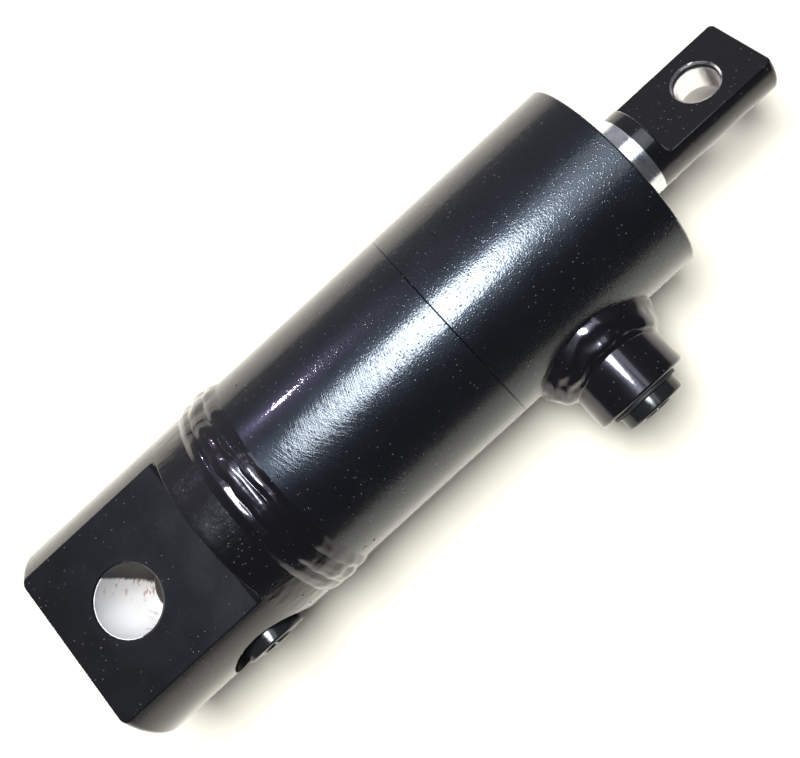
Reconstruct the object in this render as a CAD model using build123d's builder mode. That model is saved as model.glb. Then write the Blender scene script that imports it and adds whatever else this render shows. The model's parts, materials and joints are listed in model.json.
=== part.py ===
"""Short double-acting hydraulic cylinder with a flattened pin eye at each end.

The X axis runs along the cylinder towards the rod end, Z along the base pin, and both ports face -Y. The origin is
the centre of the base pin bore. Sizes are in millimetres, and the rod is drawn fully retracted.
"""

import os

from build123d import *

os.makedirs("parts", exist_ok=True)

# Driving sizes -------------------------------------------------------------------------------------------------
BARREL_D = 63.5
BORE_D = 50.8
ROD_D = 25.4
STROKE = 50.8
PIN_TO_PIN = 206.0
BASE_PIN_BORE_D = 19.3
EYE_PIN_BORE_D = 12.95
BASE_THICKNESS = 43.2
EYE_THICKNESS = 11.1
EYE_TURN = -27.0  # how far the rod stands turned about X in its rest position, degrees
PORT_THREAD_D = 14.3
PORT_PASSAGE_D = 8.0
BORE_CHAMFER = 0.6
EDGE_BREAK = 0.5
EDGE_ROUND = 0.6  # softened outer edges of the flats and the rim
BLOCK_END_ROUND, EYE_END_ROUND = 2.0, 1.6  # rounded ends of the two bars

# Stations along X, from the base end to the eye's end
BASE_END_X = -20.5
BASE_PORT_X = 17.8
BASE_FLAT_END_X = 28.5
WELD_START_X, WELD_END_X = 38.4, 51.8
SPIGOT_END_X = 52.0
PISTON_START_X = 53.2
SEAM_X = 111.2
TUBE_END_X = 128.7
NOSE_X = 130.0
HEAD_PORT_X = 137.0
GLAND_X = 146.0
FACE_X = 172.3
ROD_END_X = 181.0
EYE_FLAT_X = 185.5
EYE_END_X = 222.6
BLOCK_CORNER_R, EYE_CORNER_R = 2.0, 1.5  # where the flats run out
FLAT_RUN_OUT = 4.0  # zone at the wall where a flat's edges stay as they are
STOP_GAP = 0.05  # left between piston and nose when the rod is fully out
PISTON_END_X = NOSE_X - STROKE - STOP_GAP

# Radii and distances from the cylinder's axis
BARREL_R = BARREL_D / 2
BORE_R = BORE_D / 2
ROD_R = ROD_D / 2
SPIGOT_R = BORE_R - 0.05
SEAT_GAP = 0.05  # between turned seats of pieces that stay together
RUNNING_GAP = 0.04  # between a ring or seal and the wall that it runs on
METAL_GAP = 0.25  # between metal pieces that guide rings keep apart

# Welds
WELD_CROWN = 1.5
WELD_LIP = 1.8  # from the weld's toe to the bevel's edge
WELD_ROOT_START, WELD_ROOT_END = 4.8, 6.0  # from the weld's start
PORT_WELD_FOOT_R, PORT_WELD_TOP_R = 24.0, 39.4
PORT_WELD_FOOT_X, PORT_WELD_FOOT_Z = 25.6, 18.4
PORT_WELD_TOP_X, PORT_WELD_TOP_Z = 15.2, 14.6

# Ports
BOSS_D = 28.5
BOSS_FACE_R = 49.2
SPOTFACE_D = 27.0
SPOTFACE_R = 27.6
PLUG_HEAD_D = 18.3
PLUG_HEAD_H = 3.9
PLUG_SEAL_D = 20.8
PLUG_SEAL_H = 1.2
PLUG_STEM_H = 11.0
PLUG_NUB_D, PLUG_NUB_H = 8.5, 0.6
THREAD_GAP = 0.1

# Rod thread, nut and piston
STEM_R = 9.525
ROD_TAIL_X = 54.6
NUT_ACROSS_FLATS = 28.0
NUT_H = 10.4
NUT_POCKET_R = 17.2
NUT_POCKET_END_X = 66.0
BASE_THREAD_BOTTOM_R = 12.0

# Grooves as (start x, end x, bottom radius)
REAR_GUIDE_GROOVE = (55.2, 60.8, 23.2)
SEAL_GROOVE = (63.2, 69.2, 20.6)
FRONT_GUIDE_GROOVE = (71.6, 77.2, 23.2)
PISTON_ORING_GROOVE = (69.0, 72.0, 11.3)
JOINT_GROOVE = (121.0, 125.6, 26.8)
ROD_GUIDE_GROOVE = (134.4, 146.4, 15.2)
ROD_SEAL_GROOVE = (152.0, 160.0, 17.9)
WIPER_GROOVE = (165.4, 170.9, 17.9)
WIPER_MOUTH_R = 16.2

JOINT_R = 28.55  # spigot of the screwed joint between tube and head
NOSE_R = 19.0

# Rings and seals
ROD_RING_R = ROD_R + RUNNING_GAP
PISTON_R = BORE_R - METAL_GAP
PISTON_RING_R = BORE_R - RUNNING_GAP
SEAL_SPLIT_R = 23.0  # between the piston seal and its energizer
JOINT_ORING_END_X = JOINT_GROOVE[0] + 3.0
CUP_MOUTH_R = (ROD_RING_R + ROD_SEAL_GROOVE[2]) / 2
CUP_MOUTH_D, CUP_MOUTH_DEPTH = 1.9, 3.2
WIPER_LIP_X = FACE_X + 1.2


def write(builder, name):
    """Labels a finished sub-part and writes it to its own STEP file."""
    builder.part.label = name
    export_step(builder.part, f"parts/{name}.step")


def outline(points):
    """Returns the closed flat outline through the given (x, y) points."""
    with BuildSketch() as shape:
        with BuildLine():
            Polyline(*points, close=True)
        make_face()
    return shape.sketch


def turn(points, axis=Axis.X, mode=Mode.ADD):
    """Turns an outline about an axis, X unless another is given."""
    revolve(outline(points), axis=axis, mode=mode)


def cut_groove(groove, wall_r):
    """Cuts a square groove between a wall and the groove's bottom radius."""
    start, end, bottom_r = groove
    turn([(start, wall_r), (end, wall_r), (end, bottom_r), (start, bottom_r)], mode=Mode.SUBTRACT)


def groove_ring(groove, inner_r, outer_r, corner=0.0, play=0.1):
    """Turns a ring that lies in a groove with a little side play, with rounded corners if asked."""
    start, end = groove[0] + play, groove[1] - play
    with BuildSketch() as section:
        with Locations(((start + end) / 2, (inner_r + outer_r) / 2)):
            if corner:
                RectangleRounded(end - start, outer_r - inner_r, corner)
            else:
                Rectangle(end - start, outer_r - inner_r)
    revolve(section.sketch, axis=Axis.X)


def port_axis(x):
    """Axis of a port that leaves the cylinder square, at the given station."""
    return Axis((x, 0, 0), (0, 1, 0))


def port_plane(x, radius):
    """Plane square to a port, facing outwards at the given distance from the cylinder's axis."""
    return Plane((x, -radius, 0), x_dir=(1, 0, 0), z_dir=(0, -1, 0))


def mill_flats(side_plane, open_x, wall_x, thickness, corner_r):
    """Mills a pair of flats from a bar's end to a wall, seen from the side, with a round inner corner."""
    for side in (1, -1):
        with BuildSketch(side_plane) as cutter:
            with Locations(((open_x + wall_x) / 2, side * (thickness / 2 + BARREL_R / 2))):
                Rectangle(abs(wall_x - open_x), BARREL_R)
            inner_corner = cutter.vertices().sort_by_distance((wall_x, side * thickness / 2))[0]
            fillet(inner_corner, radius=corner_r)
        extrude(cutter.sketch, amount=BARREL_D, both=True, mode=Mode.SUBTRACT)


def soften_flats(flats, wall_x):
    """Rounds the outline of a pair of flats, apart from where they run out into their wall."""
    outline = flats.edges().filter_by(lambda edge: abs(edge.center().X - wall_x) > FLAT_RUN_OUT)
    fillet(outline, radius=EDGE_ROUND)


# Base block: round bar with two flats, the base pin bore, and the base port in a spotface ---------------------
with BuildPart() as base_block:
    turn(
        [
            (BASE_END_X, 0),
            (BASE_END_X, BARREL_R),
            (WELD_START_X + WELD_LIP, BARREL_R),
            (WELD_START_X + WELD_ROOT_START, SPIGOT_R),
            (SPIGOT_END_X - 1, SPIGOT_R),
            (SPIGOT_END_X, SPIGOT_R - 1),
            (SPIGOT_END_X, 0),
        ]
    )
    fillet(base_block.edges().sort_by(Axis.X)[0], radius=BLOCK_END_ROUND)
    mill_flats(Plane.XZ, BASE_END_X - 1, BASE_FLAT_END_X, BASE_THICKNESS, corner_r=BLOCK_CORNER_R)
    soften_flats(base_block.faces().filter_by(Axis.Z), BASE_FLAT_END_X)
    Hole(radius=BASE_PIN_BORE_D / 2)
    chamfer(
        base_block.edges().filter_by(
            lambda edge: edge.geom_type == GeomType.CIRCLE
            and abs(edge.radius - BASE_PIN_BORE_D / 2) < 0.01
            and abs(abs(edge.arc_center.Z) - BASE_THICKNESS / 2) < 0.01
        ),
        length=BORE_CHAMFER,
    )
    with BuildSketch(port_plane(BASE_PORT_X, SPOTFACE_R)) as spotface:
        Circle(SPOTFACE_D / 2)
    extrude(spotface.sketch, amount=BARREL_R, mode=Mode.SUBTRACT)
    with BuildSketch(port_plane(BASE_PORT_X, BASE_THREAD_BOTTOM_R)) as thread_hole:
        Circle(PORT_THREAD_D / 2)
    extrude(thread_hole.sketch, amount=BARREL_R, mode=Mode.SUBTRACT)
    with BuildSketch(port_plane(BASE_PORT_X, 0)) as cross_passage:
        Circle(PORT_PASSAGE_D / 2)
    extrude(cross_passage.sketch, amount=BARREL_R, mode=Mode.SUBTRACT)
    with BuildSketch(Plane.YZ.offset(BASE_PORT_X)) as long_passage:
        Circle(PORT_PASSAGE_D / 2)
    extrude(long_passage.sketch, amount=BARREL_D, mode=Mode.SUBTRACT)
write(base_block, "base_block")

# Barrel tube: bevelled for the weld at one end, a screwed spigot at the other ---------------------------------
with BuildPart() as barrel_tube:
    turn(
        [
            (WELD_START_X + WELD_ROOT_END, BORE_R),
            (WELD_END_X - WELD_LIP, BARREL_R),
            (SEAM_X - EDGE_BREAK / 2, BARREL_R),
            (SEAM_X, BARREL_R - EDGE_BREAK / 2),
            (SEAM_X, JOINT_R),
            (TUBE_END_X - 1, JOINT_R),
            (TUBE_END_X, JOINT_R - 1),
            (TUBE_END_X, BORE_R),
        ]
    )
    cut_groove(JOINT_GROOVE, wall_r=JOINT_R + 1)
write(barrel_tube, "barrel_tube")

# Weld between block and tube: fills the bevels and stands proud as a low crown --------------------------------
with BuildPart() as base_weld:
    with BuildSketch() as weld_section:
        with BuildLine():
            left_lip = (WELD_START_X + WELD_LIP, BARREL_R)
            right_lip = (WELD_END_X - WELD_LIP, BARREL_R)
            root_start = (WELD_START_X + WELD_ROOT_START, SPIGOT_R)
            root_end = (WELD_START_X + WELD_ROOT_END, BORE_R)
            Polyline(left_lip, root_start, root_end, right_lip, (WELD_END_X, BARREL_R))
            ThreePointArc(
                (WELD_END_X, BARREL_R),
                ((WELD_START_X + WELD_END_X) / 2, BARREL_R + WELD_CROWN),
                (WELD_START_X, BARREL_R),
            )
            Line((WELD_START_X, BARREL_R), left_lip)
        make_face()
    revolve(weld_section.sketch, axis=Axis.X)
write(base_weld, "base_weld")

# Head cap: screwed sleeve with the port passage, the long rod nose and the gland grooves ----------------------
with BuildPart() as head_cap:
    turn(
        [
            (SEAM_X + EDGE_BREAK / 2, BARREL_R),
            (FACE_X, BARREL_R),
            (FACE_X, WIPER_MOUTH_R),
            (WIPER_GROOVE[1], WIPER_MOUTH_R),
            (WIPER_GROOVE[1], ROD_R + METAL_GAP),
            (NOSE_X, ROD_R + METAL_GAP),
            (NOSE_X, NOSE_R - 1),
            (NOSE_X + 1, NOSE_R),
            (GLAND_X, NOSE_R),
            (GLAND_X, BORE_R),
            (TUBE_END_X + 0.5, BORE_R),
            (TUBE_END_X + 0.5, JOINT_R + SEAT_GAP),
            (SEAM_X, JOINT_R + SEAT_GAP),
            (SEAM_X, BARREL_R - EDGE_BREAK / 2),
        ]
    )
    fillet(head_cap.faces().sort_by(Axis.X)[-1].edges().sort_by(SortBy.RADIUS)[-1], radius=EDGE_ROUND)
    for groove in (ROD_GUIDE_GROOVE, ROD_SEAL_GROOVE, WIPER_GROOVE):
        cut_groove(groove, wall_r=ROD_R)
    with BuildSketch(port_plane(HEAD_PORT_X, BORE_R - 3)) as head_passage:
        Circle(PORT_PASSAGE_D / 2)
    extrude(head_passage.sketch, amount=BARREL_R - BORE_R + 6, mode=Mode.SUBTRACT)
write(head_cap, "head_cap")

# Head port boss: a round bar saddled onto the head, threaded for the port -------------------------------------
with BuildPart() as head_port_boss:
    with BuildSketch(port_plane(HEAD_PORT_X, BORE_R)) as boss_circle:
        Circle(BOSS_D / 2)
    extrude(boss_circle.sketch, amount=BOSS_FACE_R - BORE_R)
    fillet(
        head_port_boss.faces().sort_by(Axis.Y)[0].edges(),
        radius=0.8,
    )
    Cylinder(BARREL_R, 2 * FACE_X, rotation=(0, 90, 0), mode=Mode.SUBTRACT)
    with BuildSketch(port_plane(HEAD_PORT_X, BOSS_FACE_R - PLUG_STEM_H - 2)) as boss_thread:
        Circle(PORT_THREAD_D / 2)
    extrude(boss_thread.sketch, amount=PLUG_STEM_H + 4, mode=Mode.SUBTRACT)
    with BuildSketch(port_plane(HEAD_PORT_X, BORE_R)) as boss_passage:
        Circle(PORT_PASSAGE_D / 2)
    extrude(boss_passage.sketch, amount=BOSS_FACE_R - BORE_R, mode=Mode.SUBTRACT)
write(head_port_boss, "head_port_boss")

# Fillet weld round the boss: an elliptical cone, wider along the barrel than across it ------------------------
with BuildPart() as head_port_weld:
    with BuildSketch(port_plane(HEAD_PORT_X, PORT_WELD_FOOT_R)):
        Ellipse(PORT_WELD_FOOT_X, PORT_WELD_FOOT_Z)
    with BuildSketch(port_plane(HEAD_PORT_X, PORT_WELD_TOP_R)):
        Ellipse(PORT_WELD_TOP_X, PORT_WELD_TOP_Z)
    loft()
    Cylinder(BARREL_R, 2 * FACE_X, rotation=(0, 90, 0), mode=Mode.SUBTRACT)
    with BuildSketch(port_plane(HEAD_PORT_X, 0)) as boss_seat:
        Circle(BOSS_D / 2)
    extrude(boss_seat.sketch, amount=BOSS_FACE_R, mode=Mode.SUBTRACT)
write(head_port_weld, "head_port_weld")

# Static seal of the screwed joint -----------------------------------------------------------------------------
with BuildPart() as head_joint_oring:
    oring_space = (JOINT_GROOVE[0], JOINT_ORING_END_X)
    groove_ring(oring_space, JOINT_GROOVE[2] + SEAT_GAP, JOINT_R, corner=0.7)
write(head_joint_oring, "head_joint_oring")

with BuildPart() as head_joint_backup_ring:
    backup_space = (JOINT_ORING_END_X, JOINT_GROOVE[1])
    groove_ring(backup_space, JOINT_GROOVE[2] + SEAT_GAP, JOINT_R)
write(head_joint_backup_ring, "head_joint_backup_ring")

# Rod guide, U-cup with its O-ring, and wiper ------------------------------------------------------------------
with BuildPart() as rod_guide_ring:
    groove_ring(ROD_GUIDE_GROOVE, ROD_RING_R, ROD_GUIDE_GROOVE[2] - SEAT_GAP)
write(rod_guide_ring, "rod_guide_ring")

with BuildPart() as rod_seal:
    groove_ring(ROD_SEAL_GROOVE, ROD_RING_R, ROD_SEAL_GROOVE[2] - SEAT_GAP)
    cup_start = ROD_SEAL_GROOVE[0]
    with BuildSketch() as cup_mouth:
        with Locations((cup_start, CUP_MOUTH_R)):
            Rectangle(CUP_MOUTH_DEPTH, CUP_MOUTH_D, align=(Align.MIN, Align.CENTER))
    revolve(cup_mouth.sketch, axis=Axis.X, mode=Mode.SUBTRACT)
write(rod_seal, "rod_seal")

with BuildPart() as rod_seal_energizer:
    with BuildSketch() as energizer_section:
        with Locations((cup_start + CUP_MOUTH_DEPTH / 2 + 0.5, CUP_MOUTH_R)):
            Circle(CUP_MOUTH_D / 2 - SEAT_GAP)
    revolve(energizer_section.sketch, axis=Axis.X)
write(rod_seal_energizer, "rod_seal_energizer")

with BuildPart() as rod_wiper:
    turn(
        [
            (WIPER_GROOVE[0] + 0.1, ROD_RING_R + 1.2),
            (WIPER_GROOVE[0] + 0.1, WIPER_GROOVE[2] - SEAT_GAP),
            (WIPER_GROOVE[1] - 0.1, WIPER_GROOVE[2] - SEAT_GAP),
            (WIPER_GROOVE[1] - 0.1, WIPER_MOUTH_R - 0.4),
            (FACE_X - 0.6, WIPER_MOUTH_R - 0.6),
            (WIPER_LIP_X, ROD_RING_R + 0.7),
            (WIPER_LIP_X, ROD_RING_R),
            (WIPER_LIP_X - 1.2, ROD_RING_R),
            (WIPER_GROOVE[1] - 1.5, ROD_RING_R + 1.2),
        ]
    )
write(rod_wiper, "rod_wiper")

# Piston: one piece, with a pocket for the nut and grooves for its rings ---------------------------------------
with BuildPart() as piston:
    turn(
        [
            (PISTON_START_X, NUT_POCKET_R),
            (PISTON_START_X, PISTON_R - 1),
            (PISTON_START_X + 1, PISTON_R),
            (PISTON_END_X - 1, PISTON_R),
            (PISTON_END_X, PISTON_R - 1),
            (PISTON_END_X, STEM_R + SEAT_GAP),
            (NUT_POCKET_END_X, STEM_R + SEAT_GAP),
            (NUT_POCKET_END_X, NUT_POCKET_R),
        ]
    )
    for groove in (REAR_GUIDE_GROOVE, SEAL_GROOVE, FRONT_GUIDE_GROOVE):
        cut_groove(groove, wall_r=BORE_R)
    cut_groove(PISTON_ORING_GROOVE, wall_r=STEM_R)
write(piston, "piston")

# Rings on the piston, which slide with it but don't turn with the rod -----------------------------------------
for name, groove in {"piston_guide_rear": REAR_GUIDE_GROOVE, "piston_guide_front": FRONT_GUIDE_GROOVE}.items():
    with BuildPart() as guide_ring:
        groove_ring(groove, groove[2] + RUNNING_GAP, PISTON_RING_R)
    write(guide_ring, name)

with BuildPart() as piston_seal_energizer:
    groove_ring(SEAL_GROOVE, SEAL_GROOVE[2] + RUNNING_GAP, SEAL_SPLIT_R, corner=0.8)
write(piston_seal_energizer, "piston_seal_energizer")

with BuildPart() as piston_seal:
    groove_ring(SEAL_GROOVE, SEAL_SPLIT_R + SEAT_GAP, PISTON_RING_R)
write(piston_seal, "piston_seal")

with BuildPart() as piston_bore_oring:
    groove_ring(PISTON_ORING_GROOVE, STEM_R + SEAT_GAP, PISTON_ORING_GROOVE[2] - SEAT_GAP, corner=0.6)
write(piston_bore_oring, "piston_bore_oring")

# Piston rod: chromed bar with a threaded stem -----------------------------------------------------------------
with BuildPart() as piston_rod:
    turn(
        [
            (ROD_TAIL_X, 0),
            (ROD_TAIL_X, STEM_R - 0.8),
            (ROD_TAIL_X + 0.8, STEM_R),
            (PISTON_END_X, STEM_R),
            (PISTON_END_X, ROD_R - EDGE_BREAK),
            (PISTON_END_X + EDGE_BREAK, ROD_R),
            (ROD_END_X, ROD_R),
            (ROD_END_X, 0),
        ]
    )
write(piston_rod, "piston_rod")

with BuildPart() as piston_lock_nut:
    with BuildSketch(Plane.YZ.offset(NUT_POCKET_END_X - NUT_H)) as hexagon:
        RegularPolygon(NUT_ACROSS_FLATS / 2, 6, major_radius=False)
        Circle(STEM_R + SEAT_GAP, mode=Mode.SUBTRACT)
    extrude(hexagon.sketch, amount=NUT_H)
write(piston_lock_nut, "piston_lock_nut")

# Rod eye: round bar with two flats and the eye's pin bore, standing turned about X ----------------------------
EYE_SIDE_PLANE = Plane.XZ.rotated((EYE_TURN, 0, 0))
EYE_PLANE = Plane.XY.rotated((EYE_TURN, 0, 0))
with BuildPart() as rod_eye:
    turn(
        [
            (ROD_END_X, 0),
            (ROD_END_X, ROD_R),
            (EYE_END_X, ROD_R),
            (EYE_END_X, 0),
        ]
    )
    fillet(rod_eye.edges().sort_by(Axis.X)[-1], radius=EYE_END_ROUND)
    mill_flats(EYE_SIDE_PLANE, EYE_END_X + 1, EYE_FLAT_X, EYE_THICKNESS, corner_r=EYE_CORNER_R)
    soften_flats(rod_eye.faces().filter_by(EYE_PLANE), EYE_FLAT_X)
    with BuildSketch(EYE_PLANE.offset(-ROD_D)) as eye_bore:
        with Locations((PIN_TO_PIN, 0)):
            Circle(EYE_PIN_BORE_D / 2)
    extrude(eye_bore.sketch, amount=2 * ROD_D, mode=Mode.SUBTRACT)
    bore_rims = rod_eye.edges().filter_by(
        lambda edge: edge.geom_type == GeomType.CIRCLE
        and abs(edge.radius - EYE_PIN_BORE_D / 2) < 0.01
    )
    chamfer(bore_rims, length=BORE_CHAMFER)
write(rod_eye, "rod_eye")

# Plugs: a threaded stem, a round head with a low nub, and a flat sealing washer under the head ----------------
PORTS = {"head_port_plug": (HEAD_PORT_X, BOSS_FACE_R), "base_port_plug": (BASE_PORT_X, SPOTFACE_R)}
for name, (x, seat_r) in PORTS.items():
    head_seat_r = seat_r + PLUG_SEAL_H
    head_end_r = head_seat_r + PLUG_HEAD_H
    stem_r = PORT_THREAD_D / 2 - THREAD_GAP
    with BuildPart() as plug:
        turn(
            [
                (x, -(seat_r - PLUG_STEM_H)),
                (x + stem_r - 1, -(seat_r - PLUG_STEM_H)),
                (x + stem_r, -(seat_r - PLUG_STEM_H + 1)),
                (x + stem_r, -head_seat_r),
                (x + PLUG_HEAD_D / 2, -head_seat_r),
                (x + PLUG_HEAD_D / 2, -(head_end_r - EDGE_BREAK)),
                (x + PLUG_HEAD_D / 2 - EDGE_BREAK, -head_end_r),
                (x + PLUG_NUB_D / 2, -head_end_r),
                (x + PLUG_NUB_D / 2 - PLUG_NUB_H / 2, -(head_end_r + PLUG_NUB_H)),
                (x, -(head_end_r + PLUG_NUB_H)),
            ],
            axis=port_axis(x),
        )
    write(plug, name)

    with BuildPart() as plug_seal:
        with BuildSketch(port_plane(x, seat_r)) as washer:
            Circle(PLUG_SEAL_D / 2)
            Circle(PORT_THREAD_D / 2, mode=Mode.SUBTRACT)
        extrude(washer.sketch, amount=PLUG_SEAL_H)
        fillet(plug_seal.edges().filter_by(GeomType.CIRCLE).group_by(SortBy.RADIUS)[-1], radius=0.4)
    write(plug_seal, f"{name}_seal")
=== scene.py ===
import json
import math
import random

import bmesh
import bpy
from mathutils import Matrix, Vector, noise


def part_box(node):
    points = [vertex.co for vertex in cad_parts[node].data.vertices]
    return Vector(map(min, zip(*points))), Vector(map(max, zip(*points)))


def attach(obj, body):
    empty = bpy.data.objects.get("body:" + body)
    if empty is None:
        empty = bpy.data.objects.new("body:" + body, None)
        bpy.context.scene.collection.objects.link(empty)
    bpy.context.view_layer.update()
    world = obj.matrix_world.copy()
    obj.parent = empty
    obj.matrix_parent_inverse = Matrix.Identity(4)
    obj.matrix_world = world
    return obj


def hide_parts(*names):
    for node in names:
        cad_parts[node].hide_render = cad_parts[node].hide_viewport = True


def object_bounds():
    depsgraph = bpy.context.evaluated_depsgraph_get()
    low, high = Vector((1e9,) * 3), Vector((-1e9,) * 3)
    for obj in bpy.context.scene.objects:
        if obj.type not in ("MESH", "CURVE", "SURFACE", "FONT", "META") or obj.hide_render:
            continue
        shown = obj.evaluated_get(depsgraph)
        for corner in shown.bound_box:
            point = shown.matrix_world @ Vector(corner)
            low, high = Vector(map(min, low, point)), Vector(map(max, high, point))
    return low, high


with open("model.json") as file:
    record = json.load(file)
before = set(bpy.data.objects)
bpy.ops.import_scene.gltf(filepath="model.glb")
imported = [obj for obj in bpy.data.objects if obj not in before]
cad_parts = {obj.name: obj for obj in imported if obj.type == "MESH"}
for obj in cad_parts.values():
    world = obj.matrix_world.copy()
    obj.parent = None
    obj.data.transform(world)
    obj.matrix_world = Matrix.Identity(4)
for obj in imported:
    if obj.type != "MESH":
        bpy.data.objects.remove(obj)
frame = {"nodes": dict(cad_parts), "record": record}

# The cylinder lies along X with its rod end towards +X; the base pin bore is on Z, and both ports face -Y.
# Places and sizes are in metres, so a length in millimetres is written times MM. Node materials measure in
# millimetres, and their noise scales are features per millimetre.
MM = 0.001
CAD_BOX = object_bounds()
MOUNTS = {mount["name"]: mount for mount in frame["record"]["mounts"]}
BOSS_LOW, BOSS_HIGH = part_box("head_port_boss")

BARREL_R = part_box("barrel_tube")[1].z
WELD_R_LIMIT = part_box("base_weld")[1].z
HEAD_PORT_X = (BOSS_LOW.x + BOSS_HIGH.x) / 2
BOSS_R = BOSS_HIGH.z
BOSS_FACE = -BOSS_LOW.y  # distance from the cylinder's axis
BURIED_R = BARREL_R * 0.86  # where the port boss and its weld end, hidden in the barrel's wall

# Camera
CAMERA_PLACE = (0.11357, -0.04591, 0.29287)
CAMERA_TURN = (9.749, 10.568, -41.569)  # X, Y, Z, degrees
CAMERA_LENS = 47.405
CAMERA_SHIFT = (0.0372, -0.1461)
CAMERA_NEAR = 0.01
SENSOR_WIDTH = 36.0

# Studio
FLOOR_SIZE = 6.0
FLOOR_DROP = 0.2 * MM  # gap between the cylinder and the floor
OVERHEAD_LIGHTS = {  # name: place, size along X and Y, power
    "softbox": ((0.085, 0.075, 0.80), (0.25, 0.42), 10.8),
    "rod_light": ((0.365, 0.10, 0.80), (0.20, 0.70), 0.75),
}
OVERHEAD_COLOUR = (0.86, 0.94, 1.0)
SIDE_LAMP_TOWARDS = (-0.17, 0.75, 0.64)  # direction of the lamp from the spot that it lights
SIDE_LAMP_DISTANCE = 0.7
SIDE_LAMP_LIT_X = 0.067
SIDE_LAMP_SIZE = (0.014, 0.014)
SIDE_LAMP_POWER = 0.60
SIDE_LAMP_COLOUR = (0.86, 0.70, 1.0)
BORE_LAMPS = {  # mount: direction of the lamp from the bore's mouth, power
    "base_pin_bore": ((0.27, 0.05, 0.96), 48.0),
    "rod_pin_bore": ((-0.30, 0.10, 0.95), 8.0),
}
BORE_LAMP_DISTANCE = 0.55
BORE_LAMP_SPREAD = 0.9  # radius of the lit spot as a share of the bore's
BORE_LAMP_BLEND = 0.1
BORE_LAMP_R = 0.004
SURROUND_DARK = (0.08, 0.08, 0.085)  # seen towards -Y
SURROUND_LIGHT = (0.34, 0.34, 0.37)  # seen towards +Y
SURROUND_DAWN = -0.3  # Y of the directions in which the surround starts to brighten


# Node materials ----------------------------------------------------------------------------------------
WHOLE_NOISE = (0.2, 0.8)  # nearly all of a noise lies between these
MID_NOISE = (0.3, 0.7)
MID_FINE_NOISE = (0.35, 0.65)
PORT_SIDE_FADE = (1.0, 8.0)  # Y from which a finish of the port side fades, and where it ends
BORE_EDGE_SOFT = 0.02


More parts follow.
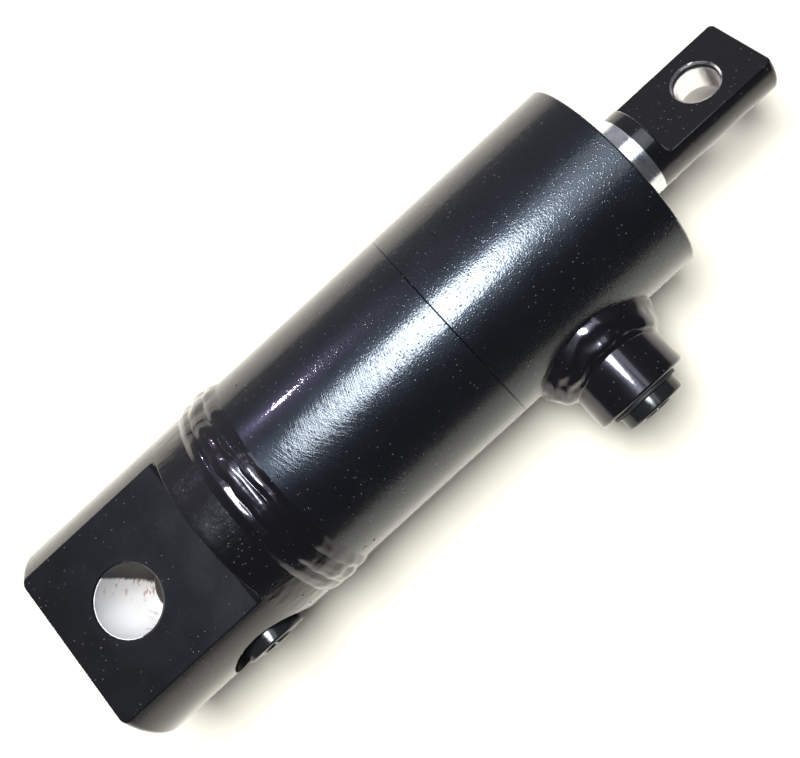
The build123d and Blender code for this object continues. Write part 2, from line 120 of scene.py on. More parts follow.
class Finish:
    """A node material being put together; most methods add nodes and return an output socket."""

    def __init__(self, name):
        self.material = bpy.data.materials.new(name)
        self.material.use_nodes = True
        self.tree = self.material.node_tree
        self.tree.nodes.clear()
        self.shader = self.tree.nodes.new("ShaderNodeBsdfPrincipled")
        output = self.tree.nodes.new("ShaderNodeOutputMaterial")
        self.tree.links.new(self.shader.outputs["BSDF"], output.inputs["Surface"])
        place = self.tree.nodes.new("ShaderNodeTexCoord").outputs["Object"]
        self.place = self.vector("SCALE", place, scale=1 / MM)  # place on the object in millimetres

    def feed(self, socket, value):
        """Links a socket or sets its value."""
        if isinstance(value, bpy.types.NodeSocket):
            self.tree.links.new(value, socket)
        elif isinstance(value, tuple) and socket.type == "RGBA":
            socket.default_value = (*value, 1.0)
        else:
            socket.default_value = value

    def look(self, **values):
        """Sets inputs of the shader; underscores stand for the spaces in their names."""
        for name, value in values.items():
            self.feed(self.shader.inputs[name.replace("_", " ")], value)

    def math(self, operation, first, second):
        """Sum, difference or product of two numbers."""
        node = self.tree.nodes.new("ShaderNodeMath")
        node.operation = operation
        self.feed(node.inputs[0], first)
        self.feed(node.inputs[1], second)
        return node.outputs[0]

    def times(self, first, *others):
        """Product of two or more numbers."""
        for other in others:
            first = self.math("MULTIPLY", first, other)
        return first

    def vector(self, operation, first, second=(0.0, 0.0, 0.0), scale=1.0):
        """Result of a vector operation, a number where the operation gives one."""
        node = self.tree.nodes.new("ShaderNodeVectorMath")
        node.operation = operation
        self.feed(node.inputs[0], first)
        self.feed(node.inputs[1], second)
        if operation == "SCALE":
            self.feed(node.inputs["Scale"], scale)
        return node.outputs["Value" if operation in ("LENGTH", "DOT_PRODUCT") else "Vector"]

    def stretched(self, per_mm, turn=0.0):
        """Place turned about Z by some degrees, then scaled by a different number along each axis."""
        node = self.tree.nodes.new("ShaderNodeVectorRotate")
        node.rotation_type = "Z_AXIS"
        self.feed(node.inputs["Vector"], self.place)
        self.feed(node.inputs["Angle"], math.radians(turn))
        return self.vector("MULTIPLY", node.outputs["Vector"], per_mm)

    def noise(self, place, scale=1.0, detail=2.0, roughness=0.5):
        """Smooth noise from 0 to 1."""
        node = self.tree.nodes.new("ShaderNodeTexNoise")
        self.feed(node.inputs["Vector"], place)
        self.feed(node.inputs["Scale"], scale)
        self.feed(node.inputs["Detail"], detail)
        self.feed(node.inputs["Roughness"], roughness)
        return node.outputs["Fac"]

    def dots(self, scale, core, edge):
        """1 within core of scattered points, 0 beyond edge, both in cells."""
        node = self.tree.nodes.new("ShaderNodeTexVoronoi")
        self.feed(node.inputs["Vector"], self.place)
        self.feed(node.inputs["Scale"], scale)
        return self.ramp(node.outputs["Distance"], core, edge, 1.0, 0.0)

    def ramp(self, value, low, high, to_low=0.0, to_high=1.0):
        """Maps low..high smoothly onto to_low..to_high."""
        node = self.tree.nodes.new("ShaderNodeMapRange")
        node.interpolation_type = "SMOOTHSTEP"
        for index, number in enumerate((value, low, high, to_low, to_high)):
            self.feed(node.inputs[index], number)
        return node.outputs["Result"]

    def mix(self, share, low, high, kind="RGBA"):
        """Blend of two colours, or of two numbers where the kind is FLOAT."""
        node = self.tree.nodes.new("ShaderNodeMix")
        node.data_type = kind
        self.feed(node.inputs["Factor"], share)
        self.feed(node.inputs["A"], low)
        self.feed(node.inputs["B"], high)
        return node.outputs["Result"]

    def bump(self, height, depth, under=None):
        """Bump of a 0..1 height whose full range is depth, laid over an earlier normal."""
        node = self.tree.nodes.new("ShaderNodeBump")
        self.feed(node.inputs["Strength"], 1.0)
        self.feed(node.inputs["Distance"], depth)
        self.feed(node.inputs["Height"], height)
        if under:
            self.feed(node.inputs["Normal"], under)
        return node.outputs["Normal"]

    def along_x(self, rises, falls, soft):
        """1 between two stations along the cylinder, with soft ends."""
        x = self.vector("DOT_PRODUCT", self.place, (1.0, 0.0, 0.0))
        up = self.ramp(x, rises - soft, rises + soft)
        down = self.ramp(x, falls - soft, falls + soft, 1.0, 0.0)
        return self.times(up, down)

    def port_side(self):
        """1 on the side of the barrel that the ports are on, 0 past its top."""
        y = self.vector("DOT_PRODUCT", self.place, (0.0, 1.0, 0.0))
        return self.ramp(y, *PORT_SIDE_FADE, 1.0, 0.0)

    def from_mount(self, mount):
        """Place measured from a mount's centre."""
        return self.vector("SUBTRACT", self.place, tuple(number / MM for number in mount["pos_m"]))

    def inside_bore(self, mount, radius):
        """1 within a radius of a mount's axis."""
        off_axis = self.vector("CROSS_PRODUCT", self.from_mount(mount), tuple(mount["axis"]))
        distance = self.vector("LENGTH", off_axis)
        return self.ramp(distance, radius - BORE_EDGE_SOFT, radius + BORE_EDGE_SOFT, 1.0, 0.0)


# Black paint -------------------------------------------------------------------------------------------
PAINT_BLACK = (0.0032, 0.0032, 0.0042)
PAINT_DUST = (0.11, 0.11, 0.12)
COAT_IOR = 1.4
# Sheen under the clear top layer, on turned surfaces, milled flats and welds
ROUND_HALO = {"level": 0.33, "tint": (0.68, 0.79, 1.0), "roughness": (0.28, 0.34)}
FLAT_HALO = {"level": 0.25, "tint": (0.95, 0.93, 1.0), "roughness": (0.24, 0.29)}
WELD_HALO = {"level": 0.36, "tint": (0.90, 0.82, 1.0), "roughness": (0.20, 0.26)}

PEEL_SCALE, PEEL_DEPTH = 0.55, 0.03 * MM  # orange peel of the sprayed surface
LINE_SCALE, LINE_DEPTH = (0.012, 0.9, 0.9), 0.006 * MM  # lines drawn along the tube
STROKE_SCALE, STROKE_CUT, STROKE_FADE = (2.3, 0.12, 0.14), (0.44, 0.64), 10
STROKES = (  # sanding: turn from square to the axis in degrees, start and stop along X in mm, depth
    (-14, 56, 112, 0.010 * MM),
    (24, 60, 98, 0.013 * MM),
    (-38, 58, 84, 0.011 * MM),
    (3, 66, 140, 0.005 * MM),
)
SPECKLED = (78, 190, 20)  # start, stop and softness along X
GRIT_SCALE, GRIT_DEPTH = 1.7, 0.035 * MM
NIB_SCALE, NIB_SIZE, NIB_DEPTH = 1.25, (0.04, 0.36), 0.032 * MM
NIB_PATCH_SCALE, NIB_PATCH_CUT = 0.35, (0.32, 0.56)
BURNT = (29.0, 60.0, 1.5)  # start, stop and softness along X, from the flats' end to past the weld
BURNT_SCALE, BURNT_DEPTH = (0.16, 0.42, 0.42), 0.22 * MM
DUST_SCALE, DUST_SIZE = 0.62, (0.06, 0.13)
DUST_PATCH_SCALE, DUST_PATCH_CUT = 0.06, (0.38, 0.54)
CLOUD_SCALE = 0.09

# Bare walls of the pin bores. Bare metal reaches rim beyond the wall. Past a given distance along a given
# direction the wall is painted shade: black paint, rough and without clear coat, where no light reaches it.
BASE_BORE_WALL = {
    "mount": MOUNTS["base_pin_bore"],
    "metallic": 0.25,
    "roughness": (0.30, 0.50),
    "rust": 0.75,
    "rim": 0.1,
    "drift_towards": (1.0, 0.0, -0.127),
    "drift_from": -4.95,
}
EYE_BORE_WALL = {
    "mount": MOUNTS["rod_pin_bore"],
    "metallic": 1.0,
    "roughness": (0.10, 0.26),
    "rust": 0.0,
    "rim": 0.62,
    "drift_towards": (0.0, 0.454, 0.891),
    "drift_from": 3.4,
}
STEEL_BRIGHT = (0.93, 0.93, 0.94)
STEEL_RUST = (0.36, 0.09, 0.05)
RUST_SCALE, RUST_CUT = 0.30, (0.56, 0.63)
RUST_STRIP = (4.5, 1.0)  # rust shows between these distances from the edge of the painted shade
# Roughness, soft wandering edge and reach past the wall of the painted shade in the bores, black paint where
# the light doesn't reach the wall
PAINTED_SHADE_ROUGHNESS = 0.6
SHADE_EDGE_SOFT, SHADE_EDGE_SCALE, SHADE_EDGE_WANDER = 0.4, 0.35, 0.15
SHADE_BEYOND_WALL = 0.1
TOOL_LINES_ALONG, TOOL_LINES_ACROSS, TOOL_LINE_DEPTH = 0.04, 1.6, 0.03 * MM


def sanding(finish, normal, strength):
    """Adds lines drawn along the tube and, on the port side, slanting sanding strokes."""
    normal = finish.bump(finish.noise(finish.stretched(LINE_SCALE)), LINE_DEPTH, under=normal)
    for turn, start, stop, depth in STROKES:
        strokes = finish.noise(finish.stretched(STROKE_SCALE, turn), detail=3.0, roughness=0.6)
        strokes = finish.ramp(strokes, *STROKE_CUT)
        strokes = finish.times(strokes, finish.along_x(start, stop, STROKE_FADE), finish.port_side())
        normal = finish.bump(strokes, depth * strength, under=normal)
    return normal


def speckles(finish, normal):
    """Adds fine grit and scattered raised nibs towards the rod end."""
    where = finish.along_x(*SPECKLED)
    grit = finish.times(finish.noise(finish.place, GRIT_SCALE, detail=3.0), where)
    normal = finish.bump(grit, GRIT_DEPTH, under=normal)
    patches = finish.ramp(finish.noise(finish.place, NIB_PATCH_SCALE, detail=3.0), *NIB_PATCH_CUT)
    nibs = finish.times(finish.dots(NIB_SCALE, *NIB_SIZE), patches, where)
    return finish.bump(nibs, NIB_DEPTH, under=normal)


def burnt_paint(finish, normal):
    """Adds the rough skin of paint over steel that the weld has heated."""
    skinned = finish.noise(finish.stretched(BURNT_SCALE), detail=3.0, roughness=0.55)
    return finish.bump(finish.times(skinned, finish.along_x(*BURNT)), BURNT_DEPTH, under=normal)


def bare_wall(finish, paint, mount, metallic, roughness, rust, rim, drift_towards, drift_from):
    """Lays a bore's bare metal over paint, given and returned as (normal, roughness, colour), with painted
    shade of black paint on the wall's unlit side.

    Two shares are returned after them: how metallic the surface is, and how much of the clear coat is left.
    """
    paint_normal, paint_roughness, paint_colour = paint
    radius = mount["dims"]["r_mm"]
    inside = finish.inside_bore(mount, radius + rim)

    # Painted shade: past a distance along the given direction the wall keeps black paint, rough and without
    # clear coat, where light doesn't reach it
    reach = finish.vector("DOT_PRODUCT", finish.from_mount(mount), drift_towards)
    wander = finish.noise(finish.place, SHADE_EDGE_SCALE)
    wander = finish.ramp(wander, *WHOLE_NOISE, -SHADE_EDGE_WANDER, SHADE_EDGE_WANDER)
    wandering = finish.math("ADD", reach, wander)
    painted_shade = finish.ramp(wandering, drift_from - SHADE_EDGE_SOFT, drift_from + SHADE_EDGE_SOFT)
    painted_shade = finish.times(painted_shade, inside, finish.inside_bore(mount, radius + SHADE_BEYOND_WALL))
    bare = finish.math("SUBTRACT", inside, painted_shade)

    rusty = finish.ramp(finish.noise(finish.place, RUST_SCALE, detail=4.0), *RUST_CUT, 0.0, rust)
    near_shade = finish.ramp(reach, drift_from - RUST_STRIP[0], drift_from - RUST_STRIP[1])
    steel = finish.mix(finish.times(rusty, near_shade), STEEL_BRIGHT, STEEL_RUST)
    colour = finish.mix(bare, paint_colour, steel)

    nearest_axis = max(range(3), key=lambda index: abs(mount["axis"][index]))
    squeeze = tuple(TOOL_LINES_ALONG if index == nearest_axis else TOOL_LINES_ACROSS for index in range(3))
    lines = finish.noise(finish.stretched(squeeze), detail=4.0, roughness=0.6)
    rough = finish.mix(bare, paint_roughness, finish.ramp(lines, *MID_NOISE, *roughness), kind="FLOAT")
    rough = finish.mix(painted_shade, rough, PAINTED_SHADE_ROUGHNESS, kind="FLOAT")
    normal = finish.bump(finish.times(lines, bare), TOOL_LINE_DEPTH, under=paint_normal)
    return normal, rough, colour, finish.times(bare, metallic), finish.math("SUBTRACT", 1.0, inside)


def black_paint(
    name, halo, coat_roughness=0.09, peel=1.0, sanded=0.0, speckled=False, burnt=False, bore=None
):
    """Glossy black enamel sprayed over steel, with the bare wall of a pin bore where one is given."""
    finish = Finish(name)
    normal = finish.bump(finish.noise(finish.place, PEEL_SCALE), PEEL_DEPTH * peel)
    if sanded:
        normal = sanding(finish, normal, sanded)
    if speckled:
        normal = speckles(finish, normal)
    if burnt:
        normal = burnt_paint(finish, normal)
    patchy = finish.ramp(finish.noise(finish.place, DUST_PATCH_SCALE), *DUST_PATCH_CUT)
    dust = finish.times(finish.dots(DUST_SCALE, *DUST_SIZE), patchy)
    colour = finish.mix(dust, PAINT_BLACK, PAINT_DUST)
    cloud = finish.noise(finish.place, CLOUD_SCALE, detail=3.0)
    roughness = finish.ramp(cloud, *MID_NOISE, *halo["roughness"])
    metallic, coat = 0.0, 1.0
    if bore:
        paint = (normal, roughness, colour)
        normal, roughness, colour, metallic, coat = bare_wall(finish, paint, **bore)
    finish.look(Base_Color=colour, Roughness=roughness, Normal=normal, Metallic=metallic)
    finish.look(Specular_IOR_Level=halo["level"], Specular_Tint=halo["tint"])
    finish.look(Coat_Weight=coat, Coat_Roughness=coat_roughness, Coat_IOR=COAT_IOR, Coat_Normal=normal)
    return finish.material


# Other finishes ----------------------------------------------------------------------------------------
CHROME_DULL, CHROME_BRIGHT = (0.70, 0.75, 0.84), (0.93, 0.94, 0.95)
CHROME_RING_SCALE, CHROME_RING_DEPTH = (6.0, 0.22, 0.22), 0.008 * MM
CHROME_WAVE_SCALE, CHROME_WAVE_DEPTH = (1.5, 0.13, 0.13), 0.042 * MM
CHROME_ROUGHNESS = (0.08, 0.22)
CHROME_HAZE_SCALE = 0.35
STEEL_DARK, STEEL_LIGHT = (0.42, 0.41, 0.40), (0.56, 0.56, 0.57)
STEEL_RING_SCALE, STEEL_RING_DEPTH = (2.6, 0.1, 0.1), 0.012 * MM
STEEL_ROUGHNESS = (0.24, 0.42)
STEEL_STAIN_SCALE = 0.11
MOULDED_CLOUD_SCALE = 0.2
FLOOR_DARK, FLOOR_LIGHT = (0.87, 0.78, 0.64), (0.89, 0.80, 0.66)
FLOOR_FIBRE_SCALE = 0.05
FLOOR_ROUGHNESS, FLOOR_SHEEN = 0.9, 0.1

BLACK_PLASTIC = {
    "dark": (0.008, 0.008, 0.009),
    "light": (0.013, 0.013, 0.014),
    "roughness": (0.12, 0.2),
    "grain": 1.2,
    "depth": 0.006 * MM,
}
BLACK_RUBBER = {
    "dark": (0.012, 0.012, 0.012),
    "light": (0.02, 0.02, 0.02),
    "roughness": (0.45, 0.6),
    "grain": 2.0,
    "depth": 0.008 * MM,
}
BLUE_URETHANE = {
    "dark": (0.02, 0.035, 0.06),
    "light": (0.03, 0.05, 0.085),
    "roughness": (0.3, 0.42),
    "grain": 1.5,
    "depth": 0.004 * MM,
}
FILLED_POLYMER = {
    "dark": (0.10, 0.055, 0.02),
    "light": (0.17, 0.10, 0.045),
    "roughness": (0.4, 0.55),
    "grain": 2.5,
    "depth": 0.006 * MM,
}


def chrome():
    """Hard chrome on a ground rod: bright and slightly wavy, with very fine rings round it."""
    finish = Finish("chrome_plating")
    rings = finish.noise(finish.stretched(CHROME_RING_SCALE), detail=4.0, roughness=0.65)
    waves = finish.noise(finish.stretched(CHROME_WAVE_SCALE), detail=4.0, roughness=0.6)
    haze = finish.noise(finish.place, CHROME_HAZE_SCALE, detail=4.0, roughness=0.65)
    normal = finish.bump(rings, CHROME_RING_DEPTH)
    finish.look(
        Base_Color=finish.mix(finish.ramp(haze, *MID_FINE_NOISE), CHROME_DULL, CHROME_BRIGHT),
        Metallic=1.0,
        Roughness=finish.ramp(waves, *MID_FINE_NOISE, *CHROME_ROUGHNESS),
        Normal=finish.bump(waves, CHROME_WAVE_DEPTH, under=normal),
    )
    return finish.material


def machined_steel():
    """Turned steel with tool rings and an oily tint."""
    finish = Finish("machined_steel")
    rings = finish.noise(finish.stretched(STEEL_RING_SCALE), detail=3.0)
    stain = finish.noise(finish.place, STEEL_STAIN_SCALE, detail=4.0)
    finish.look(
        Base_Color=finish.mix(stain, STEEL_DARK, STEEL_LIGHT),
        Metallic=1.0,
        Roughness=finish.ramp(rings, *MID_NOISE, *STEEL_ROUGHNESS),
        Normal=finish.bump(rings, STEEL_RING_DEPTH),
    )
    return finish.material


def moulded(name, dark, light, roughness, grain, depth):
    """Moulded or pressed polymer: fine grain in its surface and faint clouding in its colour."""
    finish = Finish(name)
    texture = finish.noise(finish.place, grain, detail=3.0)
    cloud = finish.noise(finish.place, MOULDED_CLOUD_SCALE, detail=3.0)
    finish.look(
        Base_Color=finish.mix(cloud, dark, light),
        Roughness=finish.ramp(texture, *MID_NOISE, *roughness),
        Normal=finish.bump(texture, depth),
    )
    return finish.material


def floor_paper():
    """Pale matt studio paper."""
    finish = Finish("floor_paper")
    fibre = finish.noise(finish.place, FLOOR_FIBRE_SCALE)
    finish.look(Base_Color=finish.mix(fibre, FLOOR_DARK, FLOOR_LIGHT))
    finish.look(Roughness=FLOOR_ROUGHNESS, Specular_IOR_Level=FLOOR_SHEEN)
    return finish.material


# Making objects ----------------------------------------------------------------------------------------
def put(name, data, place=(0, 0, 0), turn=(0, 0, 0)):
    """Puts an object made from the given data into the scene."""
    thing = bpy.data.objects.new(name, data)
    thing.location = place
    thing.rotation_euler = turn
    bpy.context.scene.collection.objects.link(thing)
    return thing


def skin(name, rings, loop=False):
    """Joins rings of points into a closed mesh: its ends get flat caps or, with loop, meet each other."""
    count = len(rings[0])
    points = [point for ring in rings for point in ring]
    faces = []
    for index in range(len(rings) if loop else len(rings) - 1):
        here = index * count
        there = (index + 1) % len(rings) * count
        for j in range(count):
            k = (j + 1) % count
            faces.append((here + j, here + k, there + k, there + j))
    if not loop:
        faces.append(tuple(range(count)))
        faces.append(tuple(range(len(points) - count, len(points))))
    mesh = bpy.data.meshes.new(name)
    mesh.from_pydata(points, [], faces)
    return mesh


def piece(mesh, body, material, replaced=(), sharp_angle=35):
    """Turns a mesh into a finished piece of the object that moves with a body."""
    shape = bmesh.new()
    shape.from_mesh(mesh)
    bmesh.ops.recalc_face_normals(shape, faces=shape.faces)
    shape.to_mesh(mesh)
    shape.free()
    mesh.shade_smooth()
    mesh.set_sharp_from_angle(angle=math.radians(sharp_angle))
    mesh.materials.append(material)
    thing = put(mesh.name, mesh)
    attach(thing, body)
    if replaced:
        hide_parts(*replaced)


def turns(count):
    """Evenly spaced angles round a circle."""
    return [2 * math.pi * index / count for index in range(count)]


def arc(middle, radius, start, end, steps):
    """Points (height, radius) on an arc of a profile, angles in degrees, 0 along the height."""
    angles = [math.radians(start + (end - start) * index / steps) for index in range(steps + 1)]
    return [(middle[0] + radius * math.cos(a), middle[1] + radius * math.sin(a)) for a in angles]


# Weld between base block and tube ----------------------------------------------------------------------
WELD_START, WELD_END = 37.6 * MM, 52.6 * MM
WELD_BURIED = 0.8 * MM
WELD_STEPS_X, WELD_STEPS_ROUND = 84, 520
HUMP_MIDDLE, HUMP_HALF, HUMP_HEIGHT = 45.2 * MM, 6.9 * MM, 0.62 * MM
HUMP_DIVE = 4  # how steeply the hump dips under the barrel's surface past its toes
HUMP_WANDER, HUMP_WANDER_LENGTH, HUMP_WIDENING = 0.6 * MM, 12 * MM, 0.06
BEADS = (  # centre along X, half width, ridge height
    (40.6 * MM, 2.6 * MM, 0.55 * MM),
    (45.3 * MM, 2.9 * MM, 0.72 * MM),
    (49.8 * MM, 2.4 * MM, 0.50 * MM),
)
BEAD_WANDER, BEAD_WANDER_LENGTH = 1.0 * MM, 9 * MM
WANDER_APART, SWELL_APART = Vector((7, 0, 0)), Vector((0, 11, 0))  # give each bead noise of its own
SWELL_START = Vector((3, 0, 0))
SWELL_LENGTH, SWELL_WIDENING, SWELL_RISE = 5 * MM, 0.25, 0.6
RIPPLE_PITCH, RIPPLE_HEIGHT = 2.3 * MM, 0.012 * MM
RIPPLE_TRAIL, RIPPLE_SHIFT = 0.55, 1.6  # pitches that a ripple's ends trail, and that a swell moves it by
FOLD_LENGTH_X, FOLD_LENGTH_ROUND, FOLD_HEIGHT = 1.2 * MM, 7.0 * MM, 0.12 * MM
LUMP_LENGTH, LUMP_HEIGHT = 3.5 * MM, 0.08 * MM
WELD_CLEARANCE = 0.02 * MM  # kept below the CAD weld's outer radius


def weld_height(x, angle):
    """Height over the barrel of a low hump with three wandering ridges, fine folds and a faint ripple."""
    around = Vector((0, math.cos(angle), math.sin(angle))) * BARREL_R
    slow = noise.noise(around / HUMP_WANDER_LENGTH)
    off_middle = (x - HUMP_MIDDLE - HUMP_WANDER * slow) / (HUMP_HALF * (1 + HUMP_WIDENING * slow))
    if abs(off_middle) < 1:
        hump = HUMP_HEIGHT * (1 - off_middle**4)
    else:
        hump = -HUMP_DIVE * HUMP_HEIGHT * (abs(off_middle) - 1)
    ridge = 0.0
    for number, (centre, half_width, tall) in enumerate(BEADS):
        wander = noise.noise(around / BEAD_WANDER_LENGTH + number * WANDER_APART)
        swell = noise.noise(around / SWELL_LENGTH + SWELL_START + number * SWELL_APART)
        off_ridge = abs(x - centre - BEAD_WANDER * wander) / (half_width * (1 + SWELL_WIDENING * swell))
        across = min(1.0, off_ridge)
        travel = angle * BARREL_R / RIPPLE_PITCH - RIPPLE_TRAIL * across**2 + RIPPLE_SHIFT * swell
        ripple = RIPPLE_HEIGHT * math.sin(2 * math.pi * travel)
        ridge = max(ridge, (tall * (1 + SWELL_RISE * swell) + ripple) * (1 - across**2))
    fold = FOLD_HEIGHT * noise.noise(Vector((x / FOLD_LENGTH_X, 0, 0)) + around / FOLD_LENGTH_ROUND)
    return max(-WELD_BURIED, hump + (ridge + fold) * max(0.0, 1 - off_middle**4))


def base_weld():
    """Ring of three overlapping beads whose toes dip under the barrel's surface."""
    rings = []
    for step in range(WELD_STEPS_X + 1):
        x = WELD_START + (WELD_END - WELD_START) * step / WELD_STEPS_X
        ring = []
        for angle in turns(WELD_STEPS_ROUND):
            place = Vector((x, math.cos(angle) * BARREL_R, math.sin(angle) * BARREL_R))
            lump = LUMP_HEIGHT * noise.noise(place / LUMP_LENGTH)
            radius = min(BARREL_R + weld_height(x, angle) + lump, WELD_R_LIMIT - WELD_CLEARANCE)
            ring.append((x, radius * math.cos(angle), radius * math.sin(angle)))
        rings.append(ring)
    inner = BARREL_R - 2 * WELD_BURIED
    for x in (WELD_END, WELD_START):
        rings.append([(x, inner * math.cos(a), inner * math.sin(a)) for a in turns(WELD_STEPS_ROUND)])
    return skin("base_weld_beads", rings, loop=True)


# Weld round the head port boss -------------------------------------------------------------------------
TOE_FRONT, TOE_BACK, TOE_SIDE = 19.2 * MM, 20.7 * MM, 17.6 * MM
TOE_DEPTH = 0.7 * MM
TOP_ENDS, TOP_SIDES = 39.6 * MM, 36.4 * MM
SADDLE_POWER = 1.5  # 1 is a straight cone, 2 a round bead
SADDLE_STEPS, SADDLE_STEPS_ROUND = 44, 300
SADDLE_OVERLAP = 0.3 * MM  # how far the weld reaches into the boss
SADDLE_HIDDEN = 1.5 * MM  # the same on its hidden underside
SADDLE_OUTWARD = -0.8  # Y of the direction in which lumps rise
LUMPS = ((2.4, 0.6 * MM), (6.0, 0.14 * MM))  # scale, height
PASSES, PASS_WANDER, PASS_WANDER_SCALE, PASS_HEIGHT = 3.1, 0.5, 2.0, 0.18 * MM
NOISE_ACROSS = 0.9  # length of the noise from boss to toe, where one turn round the boss is a unit circle
SADDLE_RIPPLES, SADDLE_RIPPLE_LEAN, SADDLE_RIPPLE_HEIGHT = 26, 5, 0.02 * MM


def saddle_point(angle, share, lift):
    """Point of the boss weld, lifted off its plain shape: share 0 is at the boss and 1 at the toe."""
    long_toe = TOE_FRONT if math.cos(angle) > 0 else TOE_BACK
    toe = 1 / math.hypot(math.cos(angle) / long_toe, math.sin(angle) / TOE_SIDE)
    top = (TOP_ENDS + TOP_SIDES) / 2 + (TOP_ENDS - TOP_SIDES) / 2 * math.cos(2 * angle)
    across = math.sin(share * math.pi / 2) ** (2 / SADDLE_POWER)
    upward = math.cos(share * math.pi / 2) ** (2 / SADDLE_POWER)
    inner = BOSS_R - SADDLE_OVERLAP
    out = inner + (toe - inner) * across
    foot = math.sqrt(BARREL_R**2 - min(abs(toe * math.sin(angle)), BARREL_R) ** 2) - TOE_DEPTH
    height = foot + (top - foot) * upward
    place = Vector((HEAD_PORT_X + out * math.cos(angle), -height, out * math.sin(angle)))
    away = Vector((math.cos(angle), SADDLE_OUTWARD, math.sin(angle))).normalized()
    return place + away * lift


def saddle_lift(angle, share):
    """Lumps, and the low ridges and ripples left by the weld's passes."""
    flat = Vector((math.cos(angle), math.sin(angle), NOISE_ACROSS * share))
    lump = sum(noise.noise(flat * scale) * height for scale, height in LUMPS)
    wander = PASS_WANDER * noise.noise(flat * PASS_WANDER_SCALE)
    ridge = PASS_HEIGHT * math.sin(2 * math.pi * (PASSES * share + wander))
    ripple = SADDLE_RIPPLE_HEIGHT * math.sin(SADDLE_RIPPLES * angle + SADDLE_RIPPLE_LEAN * share)
    return (lump + ridge + ripple) * math.sin(math.pi * share) ** 0.5


def port_weld():
    """Closed saddle of weld metal round the boss, hidden underside included."""
    angles = turns(SADDLE_STEPS_ROUND)
    shares = [step / SADDLE_STEPS for step in range(SADDLE_STEPS + 1)]
    rings = [[saddle_point(a, share, saddle_lift(a, share)) for a in angles] for share in shares]
    hidden = BOSS_R - SADDLE_HIDDEN
    rings.append([(HEAD_PORT_X + hidden * math.cos(a), -BURIED_R, hidden * math.sin(a)) for a in angles])
    return skin("head_port_weld_bead", rings, loop=True)


# Port boss and plugs -----------------------------------------------------------------------------------
THREAD_PITCH = 25.4 / 18 * MM
THREAD_DEPTH = 0.6 * MM
THREAD_STEPS = 10  # rings to one pitch
THREAD_SHARPNESS = 1.25  # over 1 leaves a flat at the crest
PORT_BORE_R = 7.15 * MM
PASSAGE_R = 4.0 * MM
PORT_STEPS_ROUND = 144
EDGE_STEPS = 6  # steps in a rounded edge
BOSS_EDGE_R, BOSS_MOUTH_CHAMFER, BOSS_THREAD_END = 0.8 * MM, 0.9 * MM, 13 * MM
PLUG_HEAD_H, PLUG_HEAD_EDGE_R = 3.9 * MM, 0.7 * MM
PLUG_NUB_H, PLUG_NUB_R, PLUG_SMALL_EDGE = 0.6 * MM, 4.25 * MM, 0.2 * MM
PLUG_STEM_R = PORT_BORE_R - 0.1 * MM
PLUG_NECK_H, PLUG_TIP_CHAMFER = 0.5 * MM, 0.5 * MM
PLUG_THREAD_FADE = 1.5  # pitches over which the thread dies out at the tip


def port_ring(x, height, radius, thread=0.0):
    """Ring round a port's axis, wider by up to thread where a screw thread passes."""
    ring = []
    for angle in turns(PORT_STEPS_ROUND):
        phase = (height / THREAD_PITCH - angle / (2 * math.pi)) % 1.0
        groove = min(1.0, THREAD_SHARPNESS * abs(2 * phase - 1))
        r = radius + thread * (1 - groove)
        ring.append((x + r * math.cos(angle), -height, r * math.sin(angle)))
    return ring


def boss():
    """Port boss: round bar with softened edges, a chamfered mouth and a cut thread."""
    shoulder = BOSS_FACE - BOSS_EDGE_R
    thread_start = BOSS_FACE - BOSS_MOUTH_CHAMFER
    bottom = BOSS_FACE - BOSS_THREAD_END
    outside = [(BURIED_R, BOSS_R), (shoulder, BOSS_R)]
    outside += arc((shoulder, BOSS_R - BOSS_EDGE_R), BOSS_EDGE_R, 90, 0, EDGE_STEPS)[1:]
    outside += [(BOSS_FACE, PORT_BORE_R + BOSS_MOUTH_CHAMFER), (thread_start, PORT_BORE_R)]
    rings = [port_ring(HEAD_PORT_X, height, radius) for height, radius in outside]
    thread_length = thread_start - bottom
    count = round(thread_length / THREAD_PITCH * THREAD_STEPS)
    for step in range(1, count):
        height = thread_start - thread_length * step / count
        fade = min(1.0, step / THREAD_STEPS, (count - step) / THREAD_STEPS)
        rings.append(port_ring(HEAD_PORT_X, height, PORT_BORE_R, THREAD_DEPTH * fade))
    inside = [(bottom, PORT_BORE_R), (bottom, PASSAGE_R), (BURIED_R, PASSAGE_R)]
    rings += [port_ring(HEAD_PORT_X, height, radius) for height, radius in inside]
    return skin("head_port_boss_turned", rings, loop=True)


def plug(name, node):
    """Moulded port plug with a round head, a low nub and a threaded stem, placed by its CAD node."""
    low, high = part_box(node)
    x = (low.x + high.x) / 2
    head_r = (high.x - low.x) / 2
    nub_top, tip = -low.y, -high.y
    top = nub_top - PLUG_NUB_H
    head_base = top - PLUG_HEAD_H
    small = PLUG_SMALL_EDGE
    core = PLUG_STEM_R - THREAD_DEPTH
    profile = [(nub_top, PLUG_NUB_R / 2), (nub_top, PLUG_NUB_R - small), (nub_top - small, PLUG_NUB_R)]
    profile += [(top + small, PLUG_NUB_R), (top, PLUG_NUB_R + small), (top, head_r - PLUG_HEAD_EDGE_R)]
    edge_middle = (top - PLUG_HEAD_EDGE_R, head_r - PLUG_HEAD_EDGE_R)
    profile += arc(edge_middle, PLUG_HEAD_EDGE_R, 0, 90, EDGE_STEPS)[1:]
    profile += [(head_base + small, head_r), (head_base, head_r - small), (head_base, core)]
    rings = [port_ring(x, height, radius) for height, radius in profile]
    stem_start = head_base - PLUG_NECK_H
    count = round((stem_start - tip) / THREAD_PITCH * THREAD_STEPS)
    for step in range(count):
        height = stem_start - (stem_start - tip) * step / count
        fade = min(1.0, step / THREAD_STEPS, (count - step) / (PLUG_THREAD_FADE * THREAD_STEPS))
        rings.append(port_ring(x, height, core, THREAD_DEPTH * fade))
    rings.append(port_ring(x, tip, core - PLUG_TIP_CHAMFER))
    return skin(name, rings)


